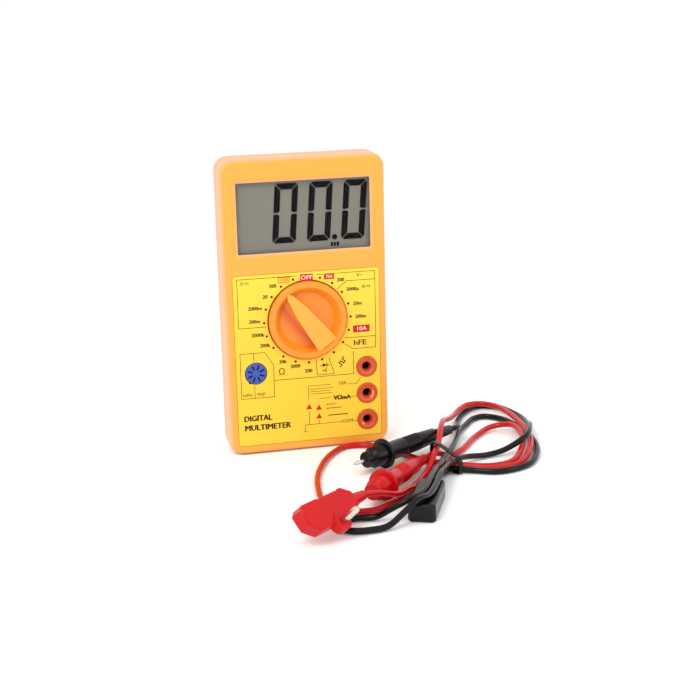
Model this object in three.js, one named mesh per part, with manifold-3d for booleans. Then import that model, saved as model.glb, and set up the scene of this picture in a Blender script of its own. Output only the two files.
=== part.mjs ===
import * as THREE from "three";
import { mergeVertices } from "three/addons/utils/BufferGeometryUtils.js";
import Module from "manifold-3d";

const wasm = await Module();
wasm.setup();

// Millimetres. X runs to the right across the face, Y into the meter, Z up. The meter stands on its bottom end.
const WIDTH = 84;
const HEIGHT = 151.5;
const FACE = -12.75;
const PARTING = FACE + 12;
const BACK = FACE + 28;
const WALL = 2.2;
const CORNER = 7;

const DIAL_Z = 69;
const KNOB_R = 20.1;
const DRUM_R = 22;
const POSITIONS = 20;
const POINTER_STEPS = 2;

const LABEL = { w: 75, z0: 5.2, z1: 93.7 };
const WINDOW = { w: 67.8, z0: 104.1, z1: 139.7, bevel: 2.6 };
const JACK_X = 30.2;
const JACKS = { "10a": 42, vohm: 27.8, com: 13.6 };
const SOCKET = { x: -27.5, z: 43.1, r: 5.5 };
const BOSSES = [[-36.4, 6.6], [36.4, 6.6], [-36.4, 145], [36.4, 145]];
const BOSS_R = 3.1;

const BOARD = FACE + 8.4;
const BOARD_T = 1.6;
const BOARD_BACK = BOARD + BOARD_T;
const BOARD_SCREWS = [[-34, 50], [34, 50], [34, 96]];
const BATTERY = { x0: -30.5, x1: 16, z0: 5, z1: 31.5, y0: FACE + 3.4, y1: FACE + 20.9 };

const CORD_R = 1.5;
const PLUG = { hub: 4.5 };
const PROBE = { nose: 12, tip: 8.5, handle: 49, guard: 7.6 };

const group = new THREE.Group();

function add(name, geometry, color, extra = {}) {
  const material = new THREE.MeshStandardMaterial({ color, ...extra });
  const mesh = new THREE.Mesh(geometry, material);
  mesh.name = name;
  group.add(mesh);
}

function welded(geometry) {
  const g = geometry.clone();
  g.deleteAttribute("normal");
  g.deleteAttribute("uv");
  return mergeVertices(g, 1e-4);
}

function solid(geometry) {
  const g = welded(geometry);
  return new wasm.Manifold(new wasm.Mesh({
    numProp: 3,
    vertProperties: new Float32Array(g.attributes.position.array),
    triVerts: new Uint32Array(g.index.array),
  }));
}

function geometryOf(manifold) {
  const mesh = manifold.getMesh();
  const g = new THREE.BufferGeometry();
  const count = mesh.vertProperties.length / mesh.numProp;
  const xyz = new Float32Array(count * 3);
  for (let i = 0; i < count; i += 1) {
    for (let k = 0; k < 3; k += 1) {
      xyz[i * 3 + k] = mesh.vertProperties[i * mesh.numProp + k];
    }
  }
  g.setAttribute("position", new THREE.BufferAttribute(xyz, 3));
  g.setIndex([...mesh.triVerts]);
  return g;
}

const join = (parts) => parts.map(solid).reduce((a, b) => a.add(b));

function cut(body, tools) {
  return tools.map(solid).reduce((a, b) => a.subtract(b), body);
}

// A box given by its low and high corners.
function block(x0, x1, y0, y1, z0, z1) {
  return new THREE.BoxGeometry(x1 - x0, y1 - y0, z1 - z0)
    .translate((x0 + x1) / 2, (y0 + y1) / 2, (z0 + z1) / 2);
}

// A shape drawn in X and Z, pushed through the meter from y0 to y1.
function plate(shape, y0, y1, steps = 6) {
  return new THREE.ExtrudeGeometry(shape, { depth: y1 - y0, bevelEnabled: false, curveSegments: steps })
    .rotateX(Math.PI / 2)
    .translate(0, y1, 0);
}

// A round rod along Y at (x, z).
function rod(r, y0, y1, x, z, sides = 32) {
  return new THREE.CylinderGeometry(r, r, y1 - y0, sides).translate(x, (y0 + y1) / 2, z);
}

// A turned profile of [radius, y] pairs about the line along Y at (x, z).
function turned(profile, x, z, sides = 32) {
  const points = profile.map(([r, y]) => new THREE.Vector2(r, y));
  return new THREE.LatheGeometry(points, sides).translate(x, 0, z);
}

function rectangle(x0, x1, z0, z1, r) {
  const s = new THREE.Shape();
  s.moveTo(x0 + r, z0);
  s.lineTo(x1 - r, z0);
  s.absarc(x1 - r, z0 + r, r, -Math.PI / 2, 0, false);
  s.lineTo(x1, z1 - r);
  s.absarc(x1 - r, z1 - r, r, 0, Math.PI / 2, false);
  s.lineTo(x0 + r, z1);
  s.absarc(x0 + r, z1 - r, r, Math.PI / 2, Math.PI, false);
  s.lineTo(x0, z0 + r);
  s.absarc(x0 + r, z0 + r, r, Math.PI, Math.PI * 1.5, false);
  return s;
}

function disc(x, z, r) {
  const path = new THREE.Path();
  path.absarc(x, z, r, 0, Math.PI * 2, true);
  return path;
}

// A block with rounded corners whose outline steps in by the given amount at each depth: [y, step-in] pairs.
function stepped(x0, x1, z0, z1, radius, levels, segments = 5) {
  const rings = levels.map(([y, inset]) => {
    const r = Math.max(radius - inset, 0.8);
    const corners = [
      [x1 - inset - r, z0 + inset + r, -90],
      [x1 - inset - r, z1 - inset - r, 0],
      [x0 + inset + r, z1 - inset - r, 90],
      [x0 + inset + r, z0 + inset + r, 180],
    ];
    const ring = [];
    for (const [cx, cz, start] of corners) {
      for (let i = 0; i <= segments; i += 1) {
        const a = THREE.MathUtils.degToRad(start + (90 * i) / segments);
        ring.push([cx + r * Math.cos(a), y, cz + r * Math.sin(a)]);
      }
    }
    return ring;
  });
  const count = rings[0].length;
  const points = rings.flat();
  const faces = [];
  for (let k = 0; k + 1 < rings.length; k += 1) {
    for (let i = 0; i < count; i += 1) {
      const j = (i + 1) % count;
      const a = k * count + i;
      const b = k * count + j;
      faces.push(a, a + count, b, b, a + count, b + count);
    }
  }
  const last = (rings.length - 1) * count;
  for (let i = 1; i + 1 < count; i += 1) {
    faces.push(0, i, i + 1);
    faces.push(last, last + i + 1, last + i);
  }
  const g = new THREE.BufferGeometry();
  g.setAttribute("position", new THREE.BufferAttribute(new Float32Array(points.flat()), 3));
  g.setIndex(faces);
  return g;
}

// A round tube through hand-placed points.
function tube(points, r, sides, step) {
  const curve = new THREE.CatmullRomCurve3(points.map((p) => new THREE.Vector3(...p)), false, "centripetal");
  const ring = new THREE.Shape();
  for (let i = 0; i < sides; i += 1) {
    const a = (Math.PI * 2 * i) / sides;
    ring[i ? "lineTo" : "moveTo"](r * Math.cos(a), r * Math.sin(a));
  }
  ring.closePath();
  const steps = Math.max(2, Math.round(curve.getLength() / step));
  return new THREE.ExtrudeGeometry(ring, { steps, extrudePath: curve, bevelEnabled: false });
}

// Turns a piece drawn along +X, with its own Z up, to point along a direction, and moves it.
function placed(geometry, origin, along, up) {
  const x = new THREE.Vector3(...along).normalize();
  const z = new THREE.Vector3(...up).addScaledVector(x, -x.dot(new THREE.Vector3(...up))).normalize();
  const y = new THREE.Vector3().crossVectors(z, x);
  return geometry.applyMatrix4(new THREE.Matrix4().makeBasis(x, y, z).setPosition(...origin));
}

// --- Front shell: face with a bevelled display window, knob hole, socket and jack holes, four screw posts.
const frontOuter = solid(stepped(-WIDTH / 2, WIDTH / 2, 0, HEIGHT, CORNER, [
  [FACE, 2.6], [FACE + 0.7, 1.3], [FACE + 2.4, 0.4], [FACE + 5, 0], [PARTING, 0],
]));
const windowOpening = rectangle(-WINDOW.w / 2, WINDOW.w / 2, WINDOW.z0, WINDOW.z1, 0.8);
const labelRecess = rectangle(-LABEL.w / 2 - 0.3, LABEL.w / 2 + 0.3, LABEL.z0 - 0.3, LABEL.z1 + 0.3, 1.5);
let front = cut(frontOuter, [
  stepped(-WIDTH / 2 + WALL, WIDTH / 2 - WALL, WALL, HEIGHT - WALL, CORNER - WALL, [
    [FACE + WALL, 0.6], [FACE + WALL + 1, 0], [PARTING + 1, 0],
  ]),
  stepped(
    -WINDOW.w / 2 - WINDOW.bevel - 1, WINDOW.w / 2 + WINDOW.bevel + 1,
    WINDOW.z0 - WINDOW.bevel - 1, WINDOW.z1 + WINDOW.bevel + 1, 3,
    [[FACE - 0.54, 0], [FACE + 1.4, WINDOW.bevel + 1]], 3,
  ),
  plate(windowOpening, FACE + 1, FACE + WALL + 1, 3),
  plate(labelRecess, FACE - 1, FACE + 0.5, 3),
  rod(KNOB_R + 0.5, FACE - 1, FACE + WALL + 1, 0, DIAL_Z, 60),
  rod(SOCKET.r + 0.3, FACE - 1, FACE + WALL + 1, SOCKET.x, SOCKET.z, 32),
  ...Object.values(JACKS).map((z) => rod(4.7, FACE - 1, FACE + WALL + 1, JACK_X, z, 32)),
]);
const drumWall = new THREE.Shape();
drumWall.absarc(0, DIAL_Z, DRUM_R + 3, 0, Math.PI * 2, false);
const scallops = new THREE.Path();
for (let i = 0; i < POSITIONS * 4; i += 1) {
  const a = (-Math.PI * 2 * i) / (POSITIONS * 4) + Math.PI / 2;
  const r = DRUM_R + 1.2 + (i % 4 === 0 ? 0.4 : 0);
  scallops[i ? "lineTo" : "moveTo"](r * Math.cos(a), DIAL_Z + r * Math.sin(a));
}
scallops.closePath();
drumWall.holes.push(scallops);
front = front.add(solid(plate(drumWall, FACE + WALL - 0.4, FACE + 6.3, 16)));
for (const [x, z] of BOSSES) {
  const post = rod(BOSS_R, FACE + WALL - 0.4, PARTING - 0.3, x, z, 16);
  front = front.add(solid(post)).subtract(solid(rod(1.65, PARTING - 8.5, PARTING + 1, x, z, 16)));
}
for (const [x, z] of BOARD_SCREWS) {
  const post = rod(2.4, FACE + WALL - 0.4, BOARD - 0.2, x, z, 16);
  front = front.add(solid(post)).subtract(solid(rod(1.1, BOARD - 5.2, BOARD + 1, x, z, 12)));
}
add("front_case", geometryOf(front), 0xf2a52a);

// --- Rear shell: rounded tub with four deep screw wells.
let rear = cut(solid(stepped(-WIDTH / 2, WIDTH / 2, 0, HEIGHT, CORNER, [
  [PARTING + 0.3, 0.5], [PARTING + 0.9, 0.5], [PARTING + 1.3, 0], [FACE + 18.5, 0],
  [FACE + 22, 0.9], [FACE + 25, 2.6], [FACE + 27, 4.6], [BACK, 6.4],
])), [
  stepped(-WIDTH / 2 + WALL, WIDTH / 2 - WALL, WALL, HEIGHT - WALL, CORNER - WALL, [
    [PARTING - 1, 0], [FACE + 18, 0], [FACE + 22, 1.4], [BACK - WALL, 4.4],
  ]),
]);
for (const [x, z] of BOSSES) {
  const inward = [x - Math.sign(x) * 1.2, z + (z < 50 ? 1.2 : -1.2)];
  rear = rear.add(solid(rod(BOSS_R + 0.6, PARTING + 0.3, BACK - 3.2, ...inward, 16)));
  rear = rear.subtract(solid(rod(1.7, PARTING - 1, BACK, x, z, 16)));
  rear = rear.subtract(solid(rod(3.2, PARTING + 6, BACK + 1, x, z, 20)));
}
const vent = (x) => block(x - 0.6, x + 0.6, BACK - 4, BACK + 1, 108, 118);
rear = cut(rear, [-6, -3, 0, 3, 6].map(vent));
add("rear_case", geometryOf(rear), 0xf0a12a);

BOSSES.forEach(([x, z], i) => {
  const head = turned([
    [0, PARTING - 7], [1.0, PARTING - 6.4], [1.35, PARTING - 5.6], [1.35, PARTING + 6.3],
    [2.7, PARTING + 6.3], [2.7, PARTING + 7.3], [2.0, PARTING + 8], [0, PARTING + 8],
  ], x, z, 16);
  const slots = [
    block(x - 1.6, x + 1.6, PARTING + 7.1, PARTING + 9, z - 0.3, z + 0.3),
    block(x - 0.3, x + 0.3, PARTING + 7.1, PARTING + 9, z - 1.6, z + 1.6),
  ];
  add(`rear_screw_${i + 1}`, geometryOf(cut(solid(head), slots)), 0x8a8d90, { metalness: 0.9 });
});

// --- Display: clear window, glass cell, holder frame and two elastomer contact strips.
add("lcd_window", block(-36, 36, FACE + 2.5, FACE + 3.5, 101.6, 141.6), 0xe8eef0, { transparent: true });
add("lcd_glass", block(-34.5, 34.5, FACE + 3.8, FACE + 6, 102.3, 141.3), 0x9aa096);
const frame = cut(solid(block(-36, 36, FACE + 6.3, FACE + 8.1, 101, 141.4)), [
  block(-32, 32, FACE + 6, FACE + 9, 108, 135),
  block(-31, 31, FACE + 6, FACE + 9, 103.2, 106.2),
  block(-31, 31, FACE + 6, FACE + 9, 136.8, 139.8),
]);
add("lcd_frame", geometryOf(frame), 0xe6e4dc);
add("contact_strip_lower", block(-30.5, 30.5, FACE + 6.1, FACE + 8.3, 103.6, 105.8), 0xd97f8c);
add("contact_strip_upper", block(-30.5, 30.5, FACE + 6.1, FACE + 8.3, 137.2, 139.4), 0xd97f8c);

// --- Face label with holes for the knob, the socket and the jacks.
const label = rectangle(-LABEL.w / 2, LABEL.w / 2, LABEL.z0, LABEL.z1, 1.3);
label.holes.push(disc(0, DIAL_Z, KNOB_R + 0.7));
label.holes.push(disc(SOCKET.x, SOCKET.z, SOCKET.r + 0.3));
for (const z of Object.values(JACKS)) {
  label.holes.push(disc(JACK_X, z, 5.6));
}
add("face_label", plate(label, FACE, FACE + 0.3, 14), 0xf7d34a);

// --- Jacks: a moulded collar in the face and a brass sleeve behind it for a 4 mm plug.
for (const [name, z] of Object.entries(JACKS)) {
  add(`jack_collar_${name}`, turned([
    [2.2, FACE + 3], [2.2, FACE + 0.6], [2.6, FACE - 0.1], [3.7, FACE - 0.1], [4.0, FACE - 0.6], [4.9, FACE - 0.7],
    [5.3, FACE - 0.3], [5.3, FACE + 0.4], [4.4, FACE + 0.4], [4.4, FACE + 3], [2.2, FACE + 3],
  ], JACK_X, z, 32), 0xe2672a);
  add(`jack_sleeve_${name}`, turned([
    [2.05, FACE + 3.2], [2.9, FACE + 3.2], [2.9, FACE + 18], [2.05, FACE + 18], [2.05, FACE + 3.2],
  ], JACK_X, z, 24), 0xc9a75a, { metalness: 0.9 });
}

// --- Transistor socket: a round block with eight contact slots.
const slot = (i) => block(1.9, 4.6, FACE - 2, FACE + 1.6, -0.4, 0.4)
  .rotateY((Math.PI / 4) * i + 0.35)
  .translate(SOCKET.x, 0, SOCKET.z);
const socket = cut(solid(turned([
  [0, FACE - 0.5], [SOCKET.r - 0.5, FACE - 0.5], [SOCKET.r, FACE], [SOCKET.r, FACE + 8.1], [0, FACE + 8.1],
], SOCKET.x, SOCKET.z, 32)), [0, 1, 2, 3, 4, 5, 6, 7].map(slot));
add("transistor_socket", geometryOf(socket), 0x2f52b8);

// --- Selector knob: rim, sloped dish and a wedge bar, one moulding with its drum and pivot.
const knobBody = turned([
  [0, FACE + 1.7], [13.8, FACE + 1.7], [16.9, FACE - 2.3], [17.4, FACE - 2.5], [19.3, FACE - 2.5],
  [KNOB_R, FACE - 1.7], [KNOB_R, FACE + 2.5], [DRUM_R, FACE + 2.5], [DRUM_R, FACE + 6.3],
  [4.8, FACE + 6.3], [4.8, BOARD + 2.6], [0, BOARD + 2.6],
], 0, 0, 60);
const bar = new THREE.Shape();
bar.moveTo(-5.7, -16.4);
bar.lineTo(5.7, -16.4);
bar.lineTo(3.7, 6);
bar.lineTo(1.7, 15.6);
bar.lineTo(0, 17.6);
bar.lineTo(-1.7, 15.6);
bar.lineTo(-3.7, 6);
bar.closePath();
const pocket = (side) => new THREE.CylinderGeometry(1.15, 1.15, 7, 12)
  .rotateZ(Math.PI / 2)
  .translate(side * 19.6, FACE + 4.5, 0);
const pointer = THREE.MathUtils.degToRad((360 / POSITIONS) * POINTER_STEPS);
let knob = join([knobBody, plate(bar, FACE - 2.9, FACE + 3)]);
knob = cut(knob, [pocket(1), pocket(-1)]);
add("selector_knob", geometryOf(knob).rotateY(-pointer).translate(0, 0, DIAL_Z), 0xf0922a);

for (const [i, side] of [[1, 1], [2, -1]]) {
  const turn = (g) => g.rotateY(-pointer).translate(0, 0, DIAL_Z);
  add(`detent_ball_${i}`, turn(new THREE.SphereGeometry(1, 12, 8).translate(side * 22, FACE + 4.5, 0)), 0xb9bcc0, {
    metalness: 1,
  });
  const coil = [];
  for (let k = 0; k <= 40; k += 1) {
    const a = (k / 40) * Math.PI * 10;
    coil.push([side * (16.7 + (k / 40) * 3.9), FACE + 4.5 + 0.7 * Math.cos(a), 0.7 * Math.sin(a)]);
  }
  add(`detent_spring_${i}`, turn(tube(coil, 0.16, 5, 0.6)), 0xa9adb2, { metalness: 1 });
}

// Three bent contacts on the back of the drum, wiping the board's rings.
[8.5, 12.5, 16.5].forEach((r, i) => {
  const s = new THREE.Shape();
  s.moveTo(-4, 6.5);
  s.lineTo(4, 6.5);
  s.lineTo(4, 6.75);
  s.lineTo(2.6, 6.75);
  s.lineTo(1.2, 8.2);
  s.lineTo(-1.2, 8.2);
  s.lineTo(-2.6, 6.75);
  s.lineTo(-4, 6.75);
  s.closePath();
  const wiper = new THREE.ExtrudeGeometry(s, { depth: 1.4, bevelEnabled: false })
    .translate(0, FACE, r)
    .rotateY((Math.PI * 2 * i) / 3)
    .translate(0, 0, DIAL_Z);
  add(`knob_contact_${i + 1}`, wiper, 0xcfa45c, { metalness: 0.9 });
});

// --- Circuit board: an L round the battery, notched for the upper screw posts.
const board = new THREE.Shape();
for (const [i, [x, z]] of [
  [-38.5, 35], [20.6, 35], [20.6, 9.2], [31.6, 9.2], [38.5, 10.6], [38.5, 140.6], [31.5, 140.6], [31.5, 147], [-31.5, 147],
  [-31.5, 140.6], [-38.5, 140.6],
].entries()) {
  board[i ? "lineTo" : "moveTo"](x, z);
}
board.closePath();
board.holes.push(disc(0, DIAL_Z, 5.1));
for (const z of Object.values(JACKS)) {
  board.holes.push(disc(JACK_X, z, 3.15));
}
for (const [x, z] of BOARD_SCREWS) {
  board.holes.push(disc(x, z, 1.4));
}
add("circuit_board", plate(board, BOARD, BOARD_BACK, 6), 0x2c6b3c);
BOARD_SCREWS.forEach(([x, z], i) => {
  add(`board_screw_${i + 1}`, turned([
    [0, BOARD - 4.6], [0.9, BOARD - 4], [0.9, BOARD_BACK + 0.2], [2.2, BOARD_BACK + 0.2],
    [2.0, BOARD_BACK + 1.2], [0, BOARD_BACK + 1.4],
  ], x, z, 12), 0x9a9da0, { metalness: 0.9 });
});

// --- Parts soldered to the back of the board.
const SEAT = BOARD_BACK + 0.2;
add("chip_blob", turned([[0, SEAT], [7, SEAT], [6, SEAT + 1.2], [3.4, SEAT + 2], [0, SEAT + 2.2]], -6, 116, 24), 0x151515);
add("buzzer", turned([
  [0, SEAT], [7, SEAT], [7, SEAT + 4], [6.4, SEAT + 4.6], [1.2, SEAT + 4.6], [1.2, SEAT + 3.4], [0, SEAT + 3.4],
], 22, 118, 24), 0x1c1c1e);
add("capacitor", turned([
  [0, SEAT], [3.1, SEAT], [3.1, SEAT + 7], [2.7, SEAT + 7.4], [0, SEAT + 7.4],
], -28, 122, 20), 0x2b2f46);
const trimmer = solid(block(-27, -20, SEAT, SEAT + 4, 92, 99));
add("trimmer", geometryOf(cut(trimmer, [rod(1.6, SEAT + 3, SEAT + 5, -23.5, 95.5, 16)])), 0x2a4f9c);
add("fuse_glass", new THREE.CylinderGeometry(2.3, 2.3, 12, 20).rotateZ(Math.PI / 2).translate(-6, SEAT + 4, 41), 0xdfe7ea);
for (const [i, side] of [[1, -1], [2, 1]]) {
  const x = -6 + side * 8.2;
  add(`fuse_cap_${i}`, new THREE.CylinderGeometry(2.6, 2.6, 4, 20).rotateZ(Math.PI / 2).translate(x, SEAT + 4, 41), 0xb8bbbf, {
    metalness: 1,
  });
  const clip = cut(solid(block(x - 2, x + 2, SEAT, SEAT + 6.6, 37.6, 44.4)), [
    new THREE.CylinderGeometry(2.9, 2.9, 6, 20).rotateZ(Math.PI / 2).translate(x, SEAT + 4, 41),
    block(x - 3, x + 3, SEAT + 5, SEAT + 8, 39.2, 42.8),
  ]);
  add(`fuse_clip_${i}`, geometryOf(clip), 0xc2a566, { metalness: 0.9 });
}
add("shunt_wire", tube([
  [24.5, SEAT, 34], [24.5, SEAT + 4, 34], [24.5, SEAT + 5.6, 32.6], [24.5, SEAT + 5.6, 23.4], [24.5, SEAT + 4, 22],
  [24.5, SEAT, 22],
], 0.8, 10, 1.5), 0xb98d5e, { metalness: 0.9 });

// --- Battery across the bottom, with its studs, snap and wires.
const B = BATTERY;
const MID_Y = (B.y0 + B.y1) / 2;
const MID_Z = (B.z0 + B.z1) / 2;
const alongX = (shape, x0, x1) => new THREE.ExtrudeGeometry(shape, {
  depth: x1 - x0, bevelEnabled: false, curveSegments: 4,
}).applyMatrix4(new THREE.Matrix4().makeBasis(
  new THREE.Vector3(0, 1, 0), new THREE.Vector3(0, 0, 1), new THREE.Vector3(1, 0, 0),
)).translate(x0, 0, 0);
add("battery", alongX(rectangle(B.y0, B.y1, B.z0, B.z1, 2), B.x0, B.x1), 0x2b2d33);
for (const [name, side, r] of [["plus", -1, 2.7], ["minus", 1, 3.6]]) {
  const stud = new THREE.CylinderGeometry(r, r, 2, 16).rotateZ(Math.PI / 2);
  add(`battery_stud_${name}`, stud.translate(B.x1 + 1.2, MID_Y, MID_Z + side * 6.35), 0xb5b8bb, { metalness: 0.9 });
}
add("battery_snap", alongX(rectangle(MID_Y - 6.5, MID_Y + 6.5, 6, 30.5, 2), B.x1 + 2.4, B.x1 + 4.1), 0x1a1a1c);
add("battery_wire_red", tube([
  [19.2, MID_Y + 6.9, 24], [18.2, FACE + 22, 29], [15, FACE + 20.5, 37], [11.5, FACE + 14, 44], [10.2, SEAT + 2.5, 47.4], [10, SEAT + 0.4, 47.6],
], 0.6, 8, 2.5), 0xc8281f);
add("battery_wire_black", tube([
  [19.2, MID_Y + 6.9, 12], [20.5, FACE + 22.5, 17], [22, FACE + 22.5, 30], [19.5, FACE + 16, 43], [16.2, SEAT + 2.5, 49.4], [16, SEAT + 0.4, 49.6],
], 0.6, 8, 2.5), 0x161616);

// --- Test leads. Plugs and probes are drawn along +X from the cord's end, with the plug's pin along +Z.
// The red plug is a flat moulding, ribbed along one edge, with its pin standing on a round hub.
function hubPlugBody() {
  const s = new THREE.Shape();
  s.moveTo(-18, 4.5);
  s.lineTo(-12.5, 0);
  s.lineTo(9, 0);
  s.lineTo(16, 3.6);
  s.lineTo(16, 10.4);
  s.lineTo(11, 14);
  for (let i = 0; i < 6; i += 1) {
    s.lineTo(9 - i * 2.4, 14);
    s.lineTo(7.8 - i * 2.4, 12.9);
  }
  s.lineTo(-6, 14);
  s.lineTo(-15.5, 14);
  s.lineTo(-18, 12);
  s.closePath();
  return geometryOf(join([
    new THREE.ExtrudeGeometry(s, {
      depth: 6.4, bevelEnabled: true, bevelThickness: 0.8, bevelSize: 0.8, bevelOffset: -0.8, bevelSegments: 1,
    }).translate(0, 0, -7.2),
    new THREE.CylinderGeometry(PLUG.hub, PLUG.hub, 5.1, 24).rotateX(Math.PI / 2).translate(0, 0, -1.75),
    new THREE.CylinderGeometry(2.2, 3.2, 10, 16).rotateZ(-Math.PI / 2).translate(20.5, 7, -4),
  ]));
}

// The black plug is a plain block with its pin sunk in a bore.
function blockPlugBody() {
  const s = new THREE.Shape();
  s.moveTo(-9, -11.2);
  s.lineTo(-7.5, -12.7);
  s.lineTo(24, -12.7);
  s.lineTo(27, -10);
  s.lineTo(27, -2.7);
  s.lineTo(24, 0);
  s.lineTo(-7.5, 0);
  s.lineTo(-9, -1.5);
  s.closePath();
  const body = join([
    new THREE.ExtrudeGeometry(s, {
      depth: 7, bevelEnabled: true, bevelThickness: 0.8, bevelSize: 0.8, bevelOffset: -0.8, bevelSegments: 1,
    }).rotateX(Math.PI / 2).translate(0, 3.5, 0),
    new THREE.CylinderGeometry(2.2, 3.2, 10.2, 16).rotateZ(-Math.PI / 2).translate(31.8, 0, -6.35),
  ]);
  const bore = new THREE.CylinderGeometry(2.6, 2.6, 12, 20).rotateX(Math.PI / 2).translate(0, 0, -4.5);
  return geometryOf(cut(body, [bore]));
}

function plugPin(base) {
  return new THREE.LatheGeometry([
    [0, base], [1.6, base], [1.6, base + 1.6], [1.95, base + 4.2], [1.6, base + 7], [1.6, base + 9.4],
    [1.1, base + 10.3], [0, base + 10.5],
  ].map(([r, z]) => new THREE.Vector2(r, z)), 16).rotateX(Math.PI / 2);
}

function probeHandle() {
  const n = PROBE.nose;
  return new THREE.LatheGeometry([
    [0, -PROBE.handle], [2.4, -PROBE.handle], [2.9, -38], [3.8, -36.4], [4.3, -26], [4.7, -13.4], [4.7, -1.6],
    [PROBE.guard - 0.5, -1.6], [PROBE.guard, -1.1], [PROBE.guard, -0.3], [PROBE.guard - 0.5, 0.2], [5.2, 0.2],
    [5.3, n - 4.6], [3.4, n - 3.4], [3.4, n - 2.6], [4.1, n - 2.2], [4.1, n], [0, n],
  ].map(([r, x]) => new THREE.Vector2(r, x)), 20).rotateZ(-Math.PI / 2);
}

function probeTip() {
  const n = PROBE.nose + 0.3;
  return new THREE.LatheGeometry([
    [0, n], [0.95, n], [0.95, n + PROBE.tip - 2.4], [0, n + PROBE.tip],
  ].map(([r, x]) => new THREE.Vector2(r, x)), 12).rotateZ(-Math.PI / 2);
}

// The leads as they lie, tied in a hank on the floor. Each runs from its plug to its probe.
const CORDS = {
  red: [
    [2.8, -115.2, 11.7], [10.6, -111.1, 10], [21.2, -104.6, 6], [28.7, -95.9, 4.6], [36.9, -87.8, 2.4],
    [48, -73.6, 1.8], [57.8, -65.8, 2.6], [67.5, -68.4, 1.7], [80, -72.8, 1.65], [93, -69, 1.7], [104, -54.5, 3.4],
    [110.5, -36, 4.8], [112.8, -14, 4.9], [112.3, 4, 4.9], [110, 15, 4.9], [104, 22, 4.9], [96.5, 22, 5],
    [89.5, 15.5, 5], [83, 6, 5], [74.5, -9.5, 8.2], [66.5, -27, 13.1], [62.3, -37.3, 13.1], [56.6, -51, 9.2], [51.2, -61.5, 7.4],
    [48, -67, 4.7], [43.9, -72, 2.2], [34, -85.5, 1.7], [22, -101, 1.65], [8, -110.3, 1.65], [-4, -107.5, 1.65],
    [-11.2, -95, 1.65], [-10, -74, 1.65], [-4.5, -51.5, 1.65], [6, -29.5, 1.65], [17.5, -17.8, 1.65],
    [28, -19.5, 1.65], [39, -33, 1.65], [50.5, -53.5, 1.7], [55, -60, 2.8], [65, -63.4, 1.75], [79, -68.6, 1.65],
    [91, -65.1, 1.8], [101, -51, 3.4], [107, -34, 4.8], [106.5, -18, 4.8], [98, -13, 2.8], [86, -22.5, 1.65],
    [71.5, -42, 1.65], [63.8, -48.3, 1.7], [55.8, -53, 5.4], [51.6, -54.2, 5.2], [48, -57.6, 5.1],
  ],
  black: [
    [45.1, -85.2, 4.3], [50.7, -75.3, 2.2], [58.8, -69.3, 2.6], [68, -72.2, 1.7], [80, -77.3, 1.65], [96, -72.5, 1.65],
    [107, -57, 1.65], [113, -34, 1.65], [111.5, -7, 1.65], [107.5, 4, 1.65], [101, 9.3, 1.65], [94.2, 6.8, 1.65], [88, -1, 1.65],
    [80.5, -12, 1.75], [72, -31, 3.2], [64.8, -47.3, 5.1], [57.5, -60.5, 5.9], [53.5, -67.5, 6.1], [45.5, -84.5, 9],
    [37, -103, 10.5], [30, -116, 10.5], [21, -124, 10.5], [14, -122.8, 7], [6.5, -119.4, 2.1], [-1, -117.3, 1.65],
    [-7.6, -118.8, 1.65], [-11.2, -122.9, 1.65], [-11, -127.9, 1.65], [-7, -131.8, 1.65], [0.5, -133.1, 1.7], [9, -132, 2.2],
    [17, -129.8, 7], [23.8, -127.2, 11], [31.5, -119.8, 10.3], [40.3, -104, 10.5], [45, -94, 10.4], [50, -83.5, 8.2],
    [60, -66.8, 6], [70, -57.5, 3.6], [82, -52.8, 1.8], [92, -51.4, 3.2], [103.5, -48.8, 8], [112, -33, 8.3],
    [118, -12, 3.4], [119, 8, 1.7], [113.5, 24, 1.65], [103.5, 28.2, 1.65], [92.5, 18.5, 1.65], [83.2, 2, 1.8],
    [79.5, -9.5, 4], [77.3, -18.6, 6.6], [74.5, -25.4, 8.6], [70.8, -28.2, 8.9],
  ],
};
const LEADS = {
  red: {
    color: 0xd8202a,
    plug: { at: [-13, -137.6, 9.3], along: [0.78, 0.62, 0], pin: [0.46, -0.58, 0.674], body: hubPlugBody, base: 1.1 },
    probe: { at: [16.1, -96.2, 7.9], along: [-0.637, -0.77, 0.057] },
    cord: CORDS.red,
  },
  black: {
    color: 0x1b1b1e,
    plug: { at: [23.5, -116.7, 4.3], along: [0.42, 0.91, 0], pin: [-0.91, 0.42, 0], body: blockPlugBody, base: -10.2 },
    probe: { at: [27.5, -53, 7.9], along: [-0.867, -0.499, -0.02] },
    cord: CORDS.black,
  },
};
for (const [name, lead] of Object.entries(LEADS)) {
  const { plug, probe } = lead;
  add(`${name}_plug_body`, placed(plug.body(), plug.at, plug.along, plug.pin), lead.color);
  add(`${name}_plug_pin`, placed(plugPin(plug.base), plug.at, plug.along, plug.pin), 0xc7c3ba, { metalness: 1 });
  add(`${name}_probe_handle`, placed(probeHandle(), probe.at, probe.along, [0, 0, 1]), lead.color);
  add(`${name}_probe_tip`, placed(probeTip(), probe.at, probe.along, [0, 0, 1]), 0xc9cacc, { metalness: 1 });
  add(`${name}_cord`, tube(lead.cord, CORD_R, 8, 8.5), lead.color);
}

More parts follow.
